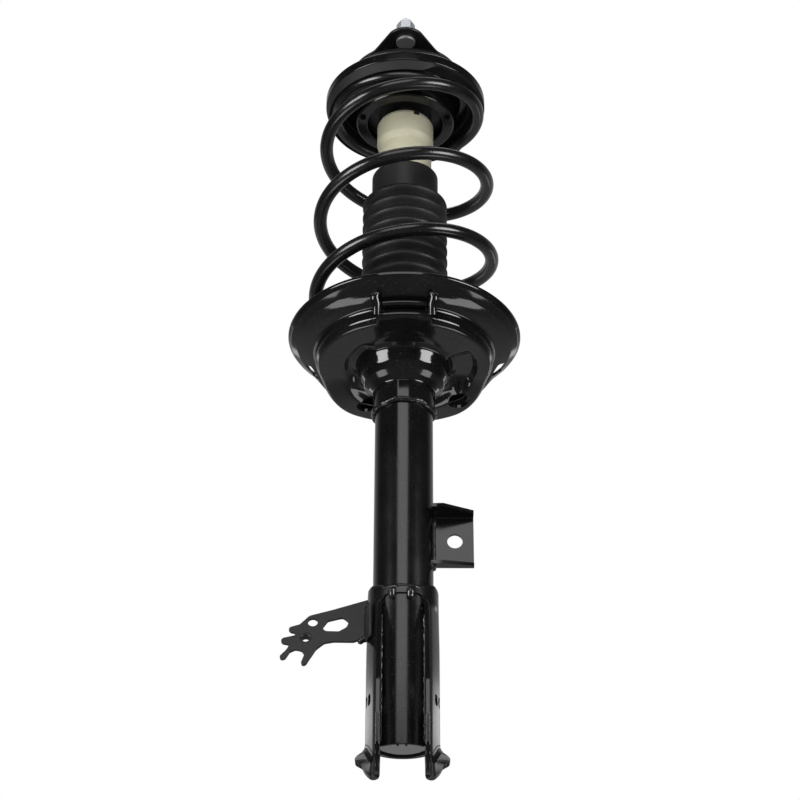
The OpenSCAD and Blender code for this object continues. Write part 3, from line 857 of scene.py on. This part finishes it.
# ---------------- bump stop and boot
bump_loop = corners([(11.4, -54.6), (21, -54.6, 1), (24.5, -55.6, 1.5), (26.35, -59.5, 4),
                     (26.35, -79, 1.5), (24.5, -86, 3), (24.5, -114, 3), (20.5, -117.5, 1.5),
                     (20.5, -122.5, 1.5), (22.5, -125, 1.5), (18, -132, 3), (11.4, -132, 1)], 6)
stop = combine(loose("stop", *revolved(bump_loop)),
               [prism("notch", [(8.0, -30), (13.0, -30), (13.0, -15), (8.0, -15)], -61.0, -54.0)])
weighted(adopt(stop, "bump_stop_foam", "mount", "bump_foam", sharp=45, stands_for=("bump_stop",)))

BOOT_R, BOOT_PITCH, BOOT_DEPTH, BOOT_WALL, PEAKS = 38.8, 12.1, 5.5, 1.5, 11
BOOT_FIRST, BOOT_TOP, BOOT_END = -152.0, -145.9, -304
STEPS = 14


def boot_profile(z):
    """Outer radius of the convolutions: round peaks and narrower valleys."""
    phase = (z - BOOT_FIRST) / BOOT_PITCH
    wave = 0.5 + 0.5 * cos(2 * pi * phase)
    return BOOT_R - BOOT_DEPTH * (1 - wave ** 0.62)


wave_z = [BOOT_FIRST + BOOT_PITCH / 2 - 1.5 - i * BOOT_PITCH / STEPS for i in range(PEAKS * STEPS - 3)]
bellows = [(boot_profile(z), z) for z in wave_z]
bellows_in = [(r - BOOT_WALL, z) for r, z in reversed(bellows)]
cuff = [(27.5, -283.5, 2), (27.5, -296, 0.5), (28.2, -298, 1), (28.2, -302, 1), (27.3, BOOT_END, 0.8),
        (25.05, BOOT_END, 0.5), (25.05, -281.6, 2)]
loop = [(29.0, BOOT_TOP), (30.2, -146.2)] + bellows + corners(cuff, 4) + bellows_in + [(27.4, -147.5)]
squash(build("boot_bellows", *revolved(loop), "upper_seat", "boot_rubber", sharp=70,
             stands_for=("dust_boot",)))
turned("boot_collar", [(20.6, -118, 0.6), (30.4, -118, 1.8), (30.4, -146.2, 0.8), (28.2, -146.2, 0.4),
                       (28.2, -122, 1.5), (20.6, -122, 0.8)],
       "upper_seat", "boot_rubber", stands_for=("dust_boot",))

# ---------------- lower spring seat
seat_low = corners([
    (102.6, -292, 1.0), (102.6, -294.9, 2.2), (100.2, -298.2, 3.5), (94.2, -302.5, 10), (86.2, -306.2, 6),
    (78.8, -308.6, 3.5),
    (78.2, -318.2, 4.0), (74.6, -322.6, 4.5), (47, -323.6, 5), (41.5, -325.5, 3), (40.3, -329, 5),
    (38.5, -336, 10), (35, -341.5, 6), (30.3, -345.5, 5), (27, -349.5, 2.5), (26.9, -368, 0.5),
    (25.05, -368, 0.3), (25.05, -348, 3), (28.6, -343.4, 5), (32.8, -339.6, 6), (36, -334.8, 8),
    (37.6, -328.6, 4), (39.5, -323.3, 3), (46, -321.2, 4), (73.0, -319.8, 4), (75.4, -317, 4),
    (75.7, -304.6, 3), (86, -304.4, 5), (99.6, -294.9, 3), (100.2, -292, 1.0)], 7)


BOSS_OUT, FRONT_LIFT, BACK_DIP, BACK_WIDER, RELIEF = 8.0, 3.2, 10.0, 7.0, 5.0


def seat_warp(r, a, z):
    """The boss at the front, the deeper dish at the back and the stamped reliefs beside the hub."""
    front = abs(degrees_off(a, -90))
    boss = 1 - smooth(16, 19, front)
    if boss > 0 and z < -309.5 and r > 70:
        r += boss * BOSS_OUT * smooth(-309.5, -312.0, z) * smooth(70, 74, r)
    z += FRONT_LIFT * (1 - smooth(15, 80, front)) * smooth(88, 100, r)
    behind = smooth(0.25, 0.85, sin(a))
    z -= BACK_DIP * behind * smooth(50, 60, r) * (1 - smooth(82, 97, r))
    r += BACK_WIDER * behind * smooth(64, 77, r) * (1 - smooth(86, 100, r))
    for middle, half, reach in ((190, 38, 50.5), (2, 26, 62)):
        valley = 1 - smooth(half - 9, half + 9, abs(degrees_off(a, middle)))
        z += RELIEF * valley * smooth(40.5, 42.5, r) * (1 - smooth(reach - 2, reach + 3, r))
    return r, a, z


dense = []
for i, p in enumerate(seat_low):
    a, b = Vector(p), Vector(seat_low[(i + 1) % len(seat_low)])
    steps = max(1, ceil((b - a).length / 2.2))
    dense += [tuple(a.lerp(b, k / steps)) for k in range(steps)]
seat = loose("seat", *revolved(dense, 420, seat_warp))


def boss_r(at):
    """Radius of the pressed ridges beside the boss: full at the top, slimmer where they run down."""
    return 2.6 + 1.7 * smooth(0, 4, at) - 0.9 * smooth(6, 16, at)


# Slot on the left and square hole on the right: direction, inner and outer radius, corner radius
cutters = []
for way, r0, r1, corner in ((157, 86.8, 92.3, 2.0), (20, 86.5, 95.0, 2.5)):
    shape = corners([(r0, -9, corner), (r1, -9, corner), (r1, 9, corner), (r0, 9, corner)], 5)
    cutters.append(prism("slot", shape, -330, -280, Matrix.Rotation(radians(way), 4, "Z")))
arc = [-102 + i for i in range(25)]
slit = [at_angle(92, t) for t in arc] + [at_angle(74.5, t) for t in reversed(arc)]
cutters.append(prism("slit", slit, -319.0, -314.2))
for way, at_r, hole_r in ((42, 66, 9.5), (124, 62, 8)):
    cutters.append(prism("drain", circle(*at_angle(at_r, way), hole_r, 56), -350, -300))
combine(seat, cutters)
weighted(adopt(seat, "lower_seat_pressing", "strut_tube", "seat_ecoat", sharp=42,
               stands_for=("lower_seat",)))
POST = [(21.4, -92.6, -305.6), (22.8, -92.6, -305.4), (24.4, -91.6, -306.8), (24.8, -90.2, -309.6),
        (23.6, -88.8, -312.6), (23.4, -87.0, -316.6), (23.6, -84.6, -320.8)]
for side, sign in SIDES:
    build(f"seat_boss_post_{side}", *swept([(sign * x, y, z) for x, y, z in POST], boss_r, 20),
          "strut_tube", "seat_ecoat", sharp=70)
for name, r, z, turns, radius, sides in (
        ("seat_boss_sill", 84.4, -321.2, range(-106, -73, 2), 3.7, 24),
        ("seat_boss_lintel", 88.6, -311.6, range(-102, -77, 2), 2.4, 16)):
    build(name, *swept([at_angle(r, t, z) for t in turns], radius, sides), "strut_tube", "seat_ecoat",
          sharp=70)
turned("lower_insulator_ring", [(86, -304.4, 1), (86, -301.1, 1), (75.9, -301.1, 1), (75.9, -304.4, 0.5)],
       "strut_tube", "insulator_rubber", stands_for=("lower_insulator",))

# ---------------- damper tube
turned("reserve_tube_body", [(25, -660), (25, -268, 0.5), (22.8, -268, 0.5), (22.8, -660)], "strut_tube",
       "tube_ecoat", count=240, stands_for=("reserve_tube",))
turned("tube_top_cap", [(12.5, -265, 0.5), (12.5, -262, 0.8), (26.5, -262, 2), (26.5, -280, 0.6), (25, -280),
                        (25, -265)], "strut_tube", "zinc", stands_for=("tube_cap",))
# The base cap's light grey paint is painted light, standing in for the lit look of its lower face
turned("tube_base_cap", [(0.02, -671.5), (17.2, -671.5, 1.6), (21.5, -669.8, 3), (24.6, -665, 3), (25, -660),
                         (22.8, -660), (22.8, -648), (16, -648), (16, -664), (12, -668), (0.02, -668)],
       "strut_tube", "cap_satin", stands_for=("base_cap",))


def ring_path(r, z, start, stop, count, wave, seed):
    """An arc round the tube whose height wanders by about the wave."""
    out = []
    for i in range(count + 1):
        a = radians(start + (stop - start) * i / count)
        dz = wave * noise.noise(Vector((cos(a) * 1.7 + seed, sin(a) * 1.7, 0)))
        out.append((r * cos(a), r * sin(a), z + dz))
    return out


weld_bead("weld_seat_neck", ring_path(26.3, -368.4, 0, 358, 120, 3.5, 3), 2.5, 3, 5.0)
weld_bead("weld_base", ring_path(24.6, -661.2, 20, 160, 80, 2.0, 5), 2.0, 5)

# ---------------- knuckle bracket
SHEET = 3.6
WRAP_R = 27.9
EAR_MID = 19.3
BEND_R = 5.0
wrap_turn = acos((EAR_MID + BEND_R) / (WRAP_R + BEND_R))
S_WRAP = WRAP_R * (pi / 2 + wrap_turn)
S_BEND = S_WRAP + BEND_R * wrap_turn
S_FRONT = WRAP_R * pi
EAR_START = -(WRAP_R + BEND_R) * sin(wrap_turn)
FLATTENED = 0.8


def around(s):
    a = pi / 2 - s / WRAP_R
    return WRAP_R * cos(a), WRAP_R * sin(a)


def open_section(s):
    """Mid line from the back of the tube, round it, then out into the flat ear."""
    if s <= S_WRAP:
        return around(s)
    if s <= S_BEND:
        t = (s - S_WRAP) / BEND_R
        a = wrap_turn - t
        cx = (WRAP_R + BEND_R) * cos(wrap_turn)
        cy = -(WRAP_R + BEND_R) * sin(wrap_turn)
        return cx - BEND_R * cos(a), cy + BEND_R * sin(a)
    return EAR_MID, EAR_START - (s - S_BEND)


def plain_fold(s, z):
    """The folded bracket, without the lips along its lower rear edges."""
    closed = smooth(-561, -552.5, z)
    ox, oy = open_section(s)
    turn = degrees(s / WRAP_R) - 90
    if 2 < turn < 40:
        # the side wall is pressed flat between these two angles
        a, b = radians(-2), radians(-40)
        share = (turn - 2) / 38
        flat_x = WRAP_R * (cos(a) + (cos(b) - cos(a)) * share)
        flat_y = WRAP_R * (sin(a) + (sin(b) - sin(a)) * share)
        ox, oy = ox + (flat_x - ox) * FLATTENED, oy + (flat_y - oy) * FLATTENED
    if closed > 0:
        cx, cy = around(s)
        ox, oy = ox + (cx - ox) * closed, oy + (cy - oy) * closed
    shrink = 1 - 0.045 * smooth(-542, -531, z) - 0.02 * smooth(-600, -550, z)
    return ox * shrink, oy * shrink, z


def ear_s(y):
    """Distance along the sheet of a point of the flat ear at that y."""
    return S_BEND + (EAR_START - y)


# Edge that the lip grows from, upwards: place along the sheet, height, lip width, way it leans out
LIP_BEND, LIP_TURN = 7.5, 1.25
LIP_PATH = [
    (ear_s(-40.2), -707.4, 3.0, 0), (ear_s(-35), -701.8, 10.0, 0), (ear_s(-28), -694.5, 14.0, -4),
    (ear_s(-20), -686.8, 16.0, -12), (S_WRAP - 5, -681.0, 17.5, -18), (S_WRAP - 12, -674.5, 11.5, -13),
    (S_WRAP - 20, -671.0, 6.0, -3), (S_WRAP - 28, -671.0, 3.0, 8), (S_WRAP - 36, -671.0, 1.2, 20)]


def lip_at(share):
    """Smooth values between the entries of the lip's path."""
    x = min(max(share, 0), 1) * (len(LIP_PATH) - 1)
    i = min(int(x), len(LIP_PATH) - 2)
    t = x - i
    near = [LIP_PATH[min(max(i + k, 0), len(LIP_PATH) - 1)] for k in (-1, 0, 1, 2)]
    values = []
    for p, q, r, w in zip(*near):
        square, cube = 2 * p - 5 * q + 4 * r - w, 3 * q - p - 3 * r + w
        values.append(0.5 * (2 * q + (r - p) * t + square * t * t + cube * t ** 3))
    return values


def lip_mesh(side, rows=110, columns=18, overlap=1.0):
    """The lip as a sheet that curls outwards from the edge of the pressing, left or right."""
    half = SHEET / 2 + 0.2
    points = []
    for i in range(rows + 1):
        along, height, width, lean = lip_at(i / rows)
        before, after = lip_at(i / rows - 0.02), lip_at(i / rows + 0.02)
        step = Vector((after[0] - before[0], after[1] - before[1])).normalized()
        foot = Vector(plain_fold(along, height))
        lean = radians(lean)
        outwards = Vector((cos(lean), sin(lean), 0))
        onwards = Vector((-sin(lean) * step.y, cos(lean) * step.y, step.x)).normalized()
        faces_of_row = [], []
        for j in range(columns + 1):
            past = -overlap + (width + overlap) * j / columns
            turned_by = min(max(past, 0) / LIP_BEND, LIP_TURN)
            straight = past - LIP_BEND * turned_by
            out = LIP_BEND * (1 - cos(turned_by)) + straight * sin(turned_by)
            on = LIP_BEND * sin(turned_by) + straight * cos(turned_by)
            middle = foot + onwards * on + outwards * out
            across = outwards * cos(turned_by) - onwards * sin(turned_by)
            faces_of_row[0].append(middle + across * half)
            faces_of_row[1].append(middle - across * half)
        for p in faces_of_row[0] + faces_of_row[1][::-1]:
            points.append((side * p.x, p.y, p.z))
    faces = tube_faces(rows + 1, 2 * (columns + 1))
    if side < 0:
        faces = [f[::-1] for f in faces]
    return points, faces


def front_top(off):
    """Height of the sleeve's upper edge, lower at the front; off is the angle from the front."""
    return -545 + 5 * smooth(22, 70, off) + 8 * smooth(95, 130, off)


bottom_lobe = [(ear_s(-43) + dx, -693.5 + dy) for dx, dy in [at_angle(15, t) for t in range(0, -99, -7)]]
top_edge = [(WRAP_R * radians(180 - off), front_top(off)) for off in range(132, -1, -4)]
half_outline = [(0, -532)] + top_edge
half_outline += corners([
    top_edge[-1], (S_FRONT, -551), (ear_s(-25), -551, 3), (ear_s(-27.5), -559, 6),
    (ear_s(-41), -592, 20), (ear_s(-57), -637, 25), (ear_s(-60), -665, 20), (ear_s(-60), -690, 0)],
    6, closed=False)[1:]
half_outline += bottom_lobe[1:]
half_outline += [tuple(lip_at(i / 40)[:2]) for i in range(41)] + [(0, -671)]
bolt_holes = [circle(ear_s(-43), z, 7.5, 48) for z in (-693.5, -631.5)]


def slot_outline(s, z, half_w, half_h):
    box = ((-1, -1), (1, -1), (1, 1), (-1, 1))
    return corners([(s + i * half_w, z + j * half_h, half_w * 0.98) for i, j in box], 4)


side_slots = [slot_outline(WRAP_R * (pi / 2 + radians(turn)), -635.7, 2.8, 4.5)
              for turn in (4, 20)]
bent_sheet("knuckle_bracket_pressing", half_outline, bolt_holes + side_slots, plain_fold, SHEET,
           "strut_tube", "bracket_ecoat", gap=1.9, edge=0.45, sharp=45, stands_for=("knuckle_bracket",))
for side, sign in SIDES:
    lip = build(f"knuckle_lip_{side}", *lip_mesh(sign), "strut_tube", "bracket_ecoat", sharp=60,
                stands_for=("knuckle_bracket",))
    bevel(lip, 0.6, 3, 55)

# The saddle that hugs the front of the tube between the ears
arc = range(-130, -49, 2)
saddle = [at_angle(27.5, t) for t in arc] + [at_angle(25.05, t) for t in reversed(arc)]
bevel(adopt(prism("saddle", saddle, -678.5, -549), "knuckle_saddle", "strut_tube", "tube_ecoat",
            slot="bracket_ecoat", sharp=30, stands_for=("knuckle_bracket",)), 0.35, 2, 50)

front_weld = [at_angle(26.9, t, front_top(abs(t + 90)) + 0.3) for t in range(-176, -3, 2)]
weld_bead("weld_sleeve_front", front_weld, 2.2, 8)
weld_bead("weld_sleeve_back", ring_path(26.2, -532.2, 40, 140, 70, 1.0, 9), 2.0, 9)
for side, x in (("left", -9.5), ("right", 5.4)):
    weld_bead(f"weld_blob_{side}", [(x, -27.6, -546.5), (x + 0.4, -28.2, -551), (x, -27.4, -556)], 3.3,
              31 + x, 5.0)
    weld_bead(f"drip_{side}", [(x * 0.45, -26.8, -677.6), (x * 0.45 + 0.6, -26.6, -680.2)], 1.5, 41 + x, 6.0)
for side, sign in SIDES:
    weld_bead(f"weld_wall_{side}", [(sign * 17.4, -21.3, z) for z in (-566, -600, -640, -676)], 1.5,
              11 + sign, 9.0)

# ---------------- stabiliser link bracket
c_loop = corners([(3, -466, 4.2), (3, -516, 4.2), (-14, -516, 0.3), (-14, -513, 0.3), (0, -513, 1.4),
                  (0, -469, 1.4), (-26, -469, 0.3), (-26, -466, 0.3)], 6)
place = Matrix(((0, 0, 1, 0), (1, 0, 0, 0), (0, 1, 0, 0), (0, 0, 0, 1)))
channel = prism("channel", c_loop, 20, 58.7, place)
plan = [(22.5, 4), (58.7, 4), (58.7, -8), (33, -21.5), (23.5, -21), (22.5, -5)]
lower_plan = prism("lower_trim", [(58.8, -5), (58.8, -30), (20, -30), (20, -10), (33, -10)], -517, -508)
keep = prism("plan", plan, -520, -460)
combine(channel, [keep], "INTERSECT")
hole_turn = Matrix.Translation((43, 4, -491)) @ Matrix.Rotation(radians(90), 4, "X")
combine(channel, [lower_plan, prism("bore", circle(0, 0, 24.95, 120), -520, -460),
                  prism("hole", circle(0, 0, 6.5, 56), -2, 8, hole_turn)])
bevel(adopt(channel, "link_bracket_channel", "strut_tube", "bracket_ecoat", sharp=35,
            stands_for=("link_bracket",)), 0.4, 3, 40)
weld_bead("weld_link_back", [(25.6, 4.2, -468), (25.6, 4.2, -514)], 2.2, 21)
weld_bead("weld_link_front", [(25.6, -0.6, -470.5), (25.6, -0.6, -512)], 1.6, 24)
weld_bead("weld_link_top", [at_angle(25.2, t, -465.6) for t in range(6, -30, -4)], 2.0, 22)
weld_bead("weld_link_low", [at_angle(25.2, t, -516.6) for t in range(4, -30, -4)], 2.3, 23)

# ---------------- hose bracket
hose_outer = corners([
    (-27.5, 22), (-38.8, 17.9, 8), (-57, 11.2, 10), (-76.6, 4.8, 6), (-84.2, -4, 3), (-91.6, -6.6, 2.2),
    (-93.2, -9, 1.5), (-91.2, -11.4, 2), (-86.6, -12.6, 2), (-88, -15.2, 2), (-97.4, -17.8, 2.2),
    (-99.0, -20.4, 1.8), (-97.0, -22.9, 2), (-91.2, -24, 3), (-94.4, -30, 3), (-99.5, -36.2, 2.2),
    (-97.4, -39.2, 2), (-94.3, -37.6, 1.8), (-91.2, -31.4, 3), (-86.7, -28.8, 3.5), (-81.5, -30.1, 3),
    (-79.3, -33.9, 2.5), (-81.8, -42.2, 1.8), (-80.2, -44.6, 1.6), (-77.7, -43.4, 1.6), (-70.2, -28.7, 12),
    (-63.7, -22.3, 6), (-56, -20.7, 6), (-40, -20.9, 6), (-27.5, -15.5)], 5)
hose_window = corners([(-65.8, -7.5, 1.8), (-61.3, 0, 2.5), (-48.9, 3.7, 4), (-44.1, -1.5, 3),
                       (-46.1, -6.8, 3.5), (-52.2, -11, 4), (-63.1, -10.7, 3)], 5)
hose_place = Matrix.Translation((0, 0, -565)) @ Matrix.Rotation(radians(76), 4, "X")
plate("hose_bracket_plate", hose_outer,
      [circle(-73.6, -1.8, 4.1, 40), circle(-78.9, -17.6, 4.4, 40), hose_window],
      2.6, hose_place, "strut_tube", "hose_satin", edge=0.55,
      stands_for=("hose_bracket",))
points, faces = revolved(corners([(5.0, -5, 0.7), (5.0, 1.4, 0.5), (5.3, 2.6, 0.2), (4.0, 2.6, 0.4),
                                  (3.4, 2.0, 0.3), (3.4, -4.4, 0.3), (4.0, -5, 0.4)], 4), 60)
nut_place = hose_place @ Matrix.Translation((-78.9, -17.6, 0))
points = [tuple(nut_place @ Vector(p)) for p in points]
weighted(build("hose_bracket_nut", points, faces, "strut_tube", "hose_satin",
               stands_for=("hose_nut",)))

weld_bead("weld_hose_front",
          [(-29.6, -3.4, -583), (-29.9, -3.0, -576), (-29.6, -1.6, -564), (-29.2, 0.6, -550)], 2.5, 51, 6.0)
weld_bead("weld_hose_foot", [(-36.5, -5.2, -585), (-33, -5.4, -583), (-30.2, -4.6, -579.5)], 2.8, 52, 5.0)

# The rolled foot: 13 rows of four corners, inner low, inner high, outer low, outer high
FOOT_ROWS = 13
foot, foot_faces = [], []
for i in range(FOOT_ROWS):
    for r in (29.8, 32.2):
        for z in (-583.5, -565 + 11 * smooth(0, FOOT_ROWS - 1, i)):
            foot.append(at_angle(r, 183 + 2.6 * i, z))
for i in range(FOOT_ROWS - 1):
    a, b = 4 * i, 4 * i + 4
    foot_faces += [(a, a + 1, b + 1, b), (a + 2, b + 2, b + 3, a + 3), (a, b, b + 2, a + 2),
                   (a + 1, a + 3, b + 3, b + 1)]
foot_faces += [(0, 2, 3, 1), (b, b + 1, b + 3, b + 2)]
bevel(build("hose_bracket_foot", foot, foot_faces, "strut_tube", "hose_satin", sharp=35,
            stands_for=("hose_bracket",)), 0.5, 3, 40)

# ---------------- world, floor and lights
world = bpy.data.worlds.new("studio")
scene.world = world
world.use_nodes = True
tree = world.node_tree
back = tree.nodes["Background"]
split = add(tree, "SeparateXYZ")
tree.links.new(add(tree, "TexCoord").outputs["Generated"], split.inputs[0])
wall = remap(tree, split.outputs["Y"], 0.05, 0.5, 0.2, 0.9, eased=True)
height = remap(tree, split.outputs["Z"], 0.5, 1.0, -0.15, 0.3, eased=True)
ground = remap(tree, split.outputs["Z"], 0.0, 0.12, -0.15, -0.75, eased=True)
product = add(tree, "Math")
product.operation = "MULTIPLY"
tree.links.new(wall, product.inputs[0])
tree.links.new(height, product.inputs[1])
total = add(tree, "Math")
tree.links.new(product.outputs[0], total.inputs[0])
tree.links.new(ground, total.inputs[1])
# Seen directly the backdrop is plain white; the gradient is for reflections and soft light
choose = add(tree, "Mix")
tree.links.new(add(tree, "LightPath").outputs["Is Camera Ray"], choose.inputs[0])
tree.links.new(total.outputs[0], choose.inputs[2])
choose.inputs[3].default_value = 1.0
back.inputs["Color"].default_value = (1, 1, 1, 1)
tree.links.new(choose.outputs[0], back.inputs["Strength"])

FLOOR_Z, FLOOR_SIZE = -1.62, 14
floor_mesh = bpy.data.meshes.new("floor")
floor_mesh.from_pydata([(x * FLOOR_SIZE, y * FLOOR_SIZE, FLOOR_Z) for x, y in
                        ((-1, -1), (1, -1), (1, 1), (-1, 1))], [], [(0, 1, 2, 3)])
floor = bpy.data.objects.new("floor", floor_mesh)
scene.collection.objects.link(floor)
floor_mat, tree, bsdf, where = shader("floor_paper", 0.8)
bsdf.inputs["Base Color"].default_value = (0.86, 0.86, 0.86, 1)
floor_mesh.materials.append(floor_mat)
floor.visible_glossy = False


def softbox(name, at, aim_z, width, height, radiance):
    """A rectangular light aimed at the Z axis, of a given brightness as seen in reflections."""
    light = bpy.data.lights.new(name, "AREA")
    light.shape = "RECTANGLE"
    light.size, light.size_y = width, height
    light.energy = radiance * pi * width * height
    lamp = bpy.data.objects.new(name, light)
    scene.collection.objects.link(lamp)
    lamp.location = at
    lamp.rotation_mode = "QUATERNION"
    lamp.rotation_quaternion = (Vector((0, 0, aim_z)) - Vector(at)).to_track_quat("-Z", "Y")
    lamp.visible_camera = False
    return lamp


softbox("front_box", (-0.12, -1.75, 0.55), -0.4, 1.25, 1.1, 2.4)
for side, sign in (("left", -1), ("right", 1)):
    softbox(f"low_{side}", (sign * 0.68, 0.0, -1.35), -0.3, 0.42, 0.6, 3.6)
    softbox(f"side_{side}", (sign * 0.58, 0.655, -0.326), -0.63, 0.4, 0.08, 1.8)
    key = softbox(f"key_{side}", (sign * 1.28, -0.97, -0.4), -0.33, 0.85, 0.84, 9.0)
    key.data.shape = "ELLIPSE"
    key.visible_diffuse = False
fill = softbox("matte_fill", (-0.3, -2.2, -0.5), -0.25, 1.5, 1.5, 3.2)
fill.visible_glossy = False
softbox("top_fill", (0.0, 0.3, 1.9), 0, 1.6, 1.6, 1.6)
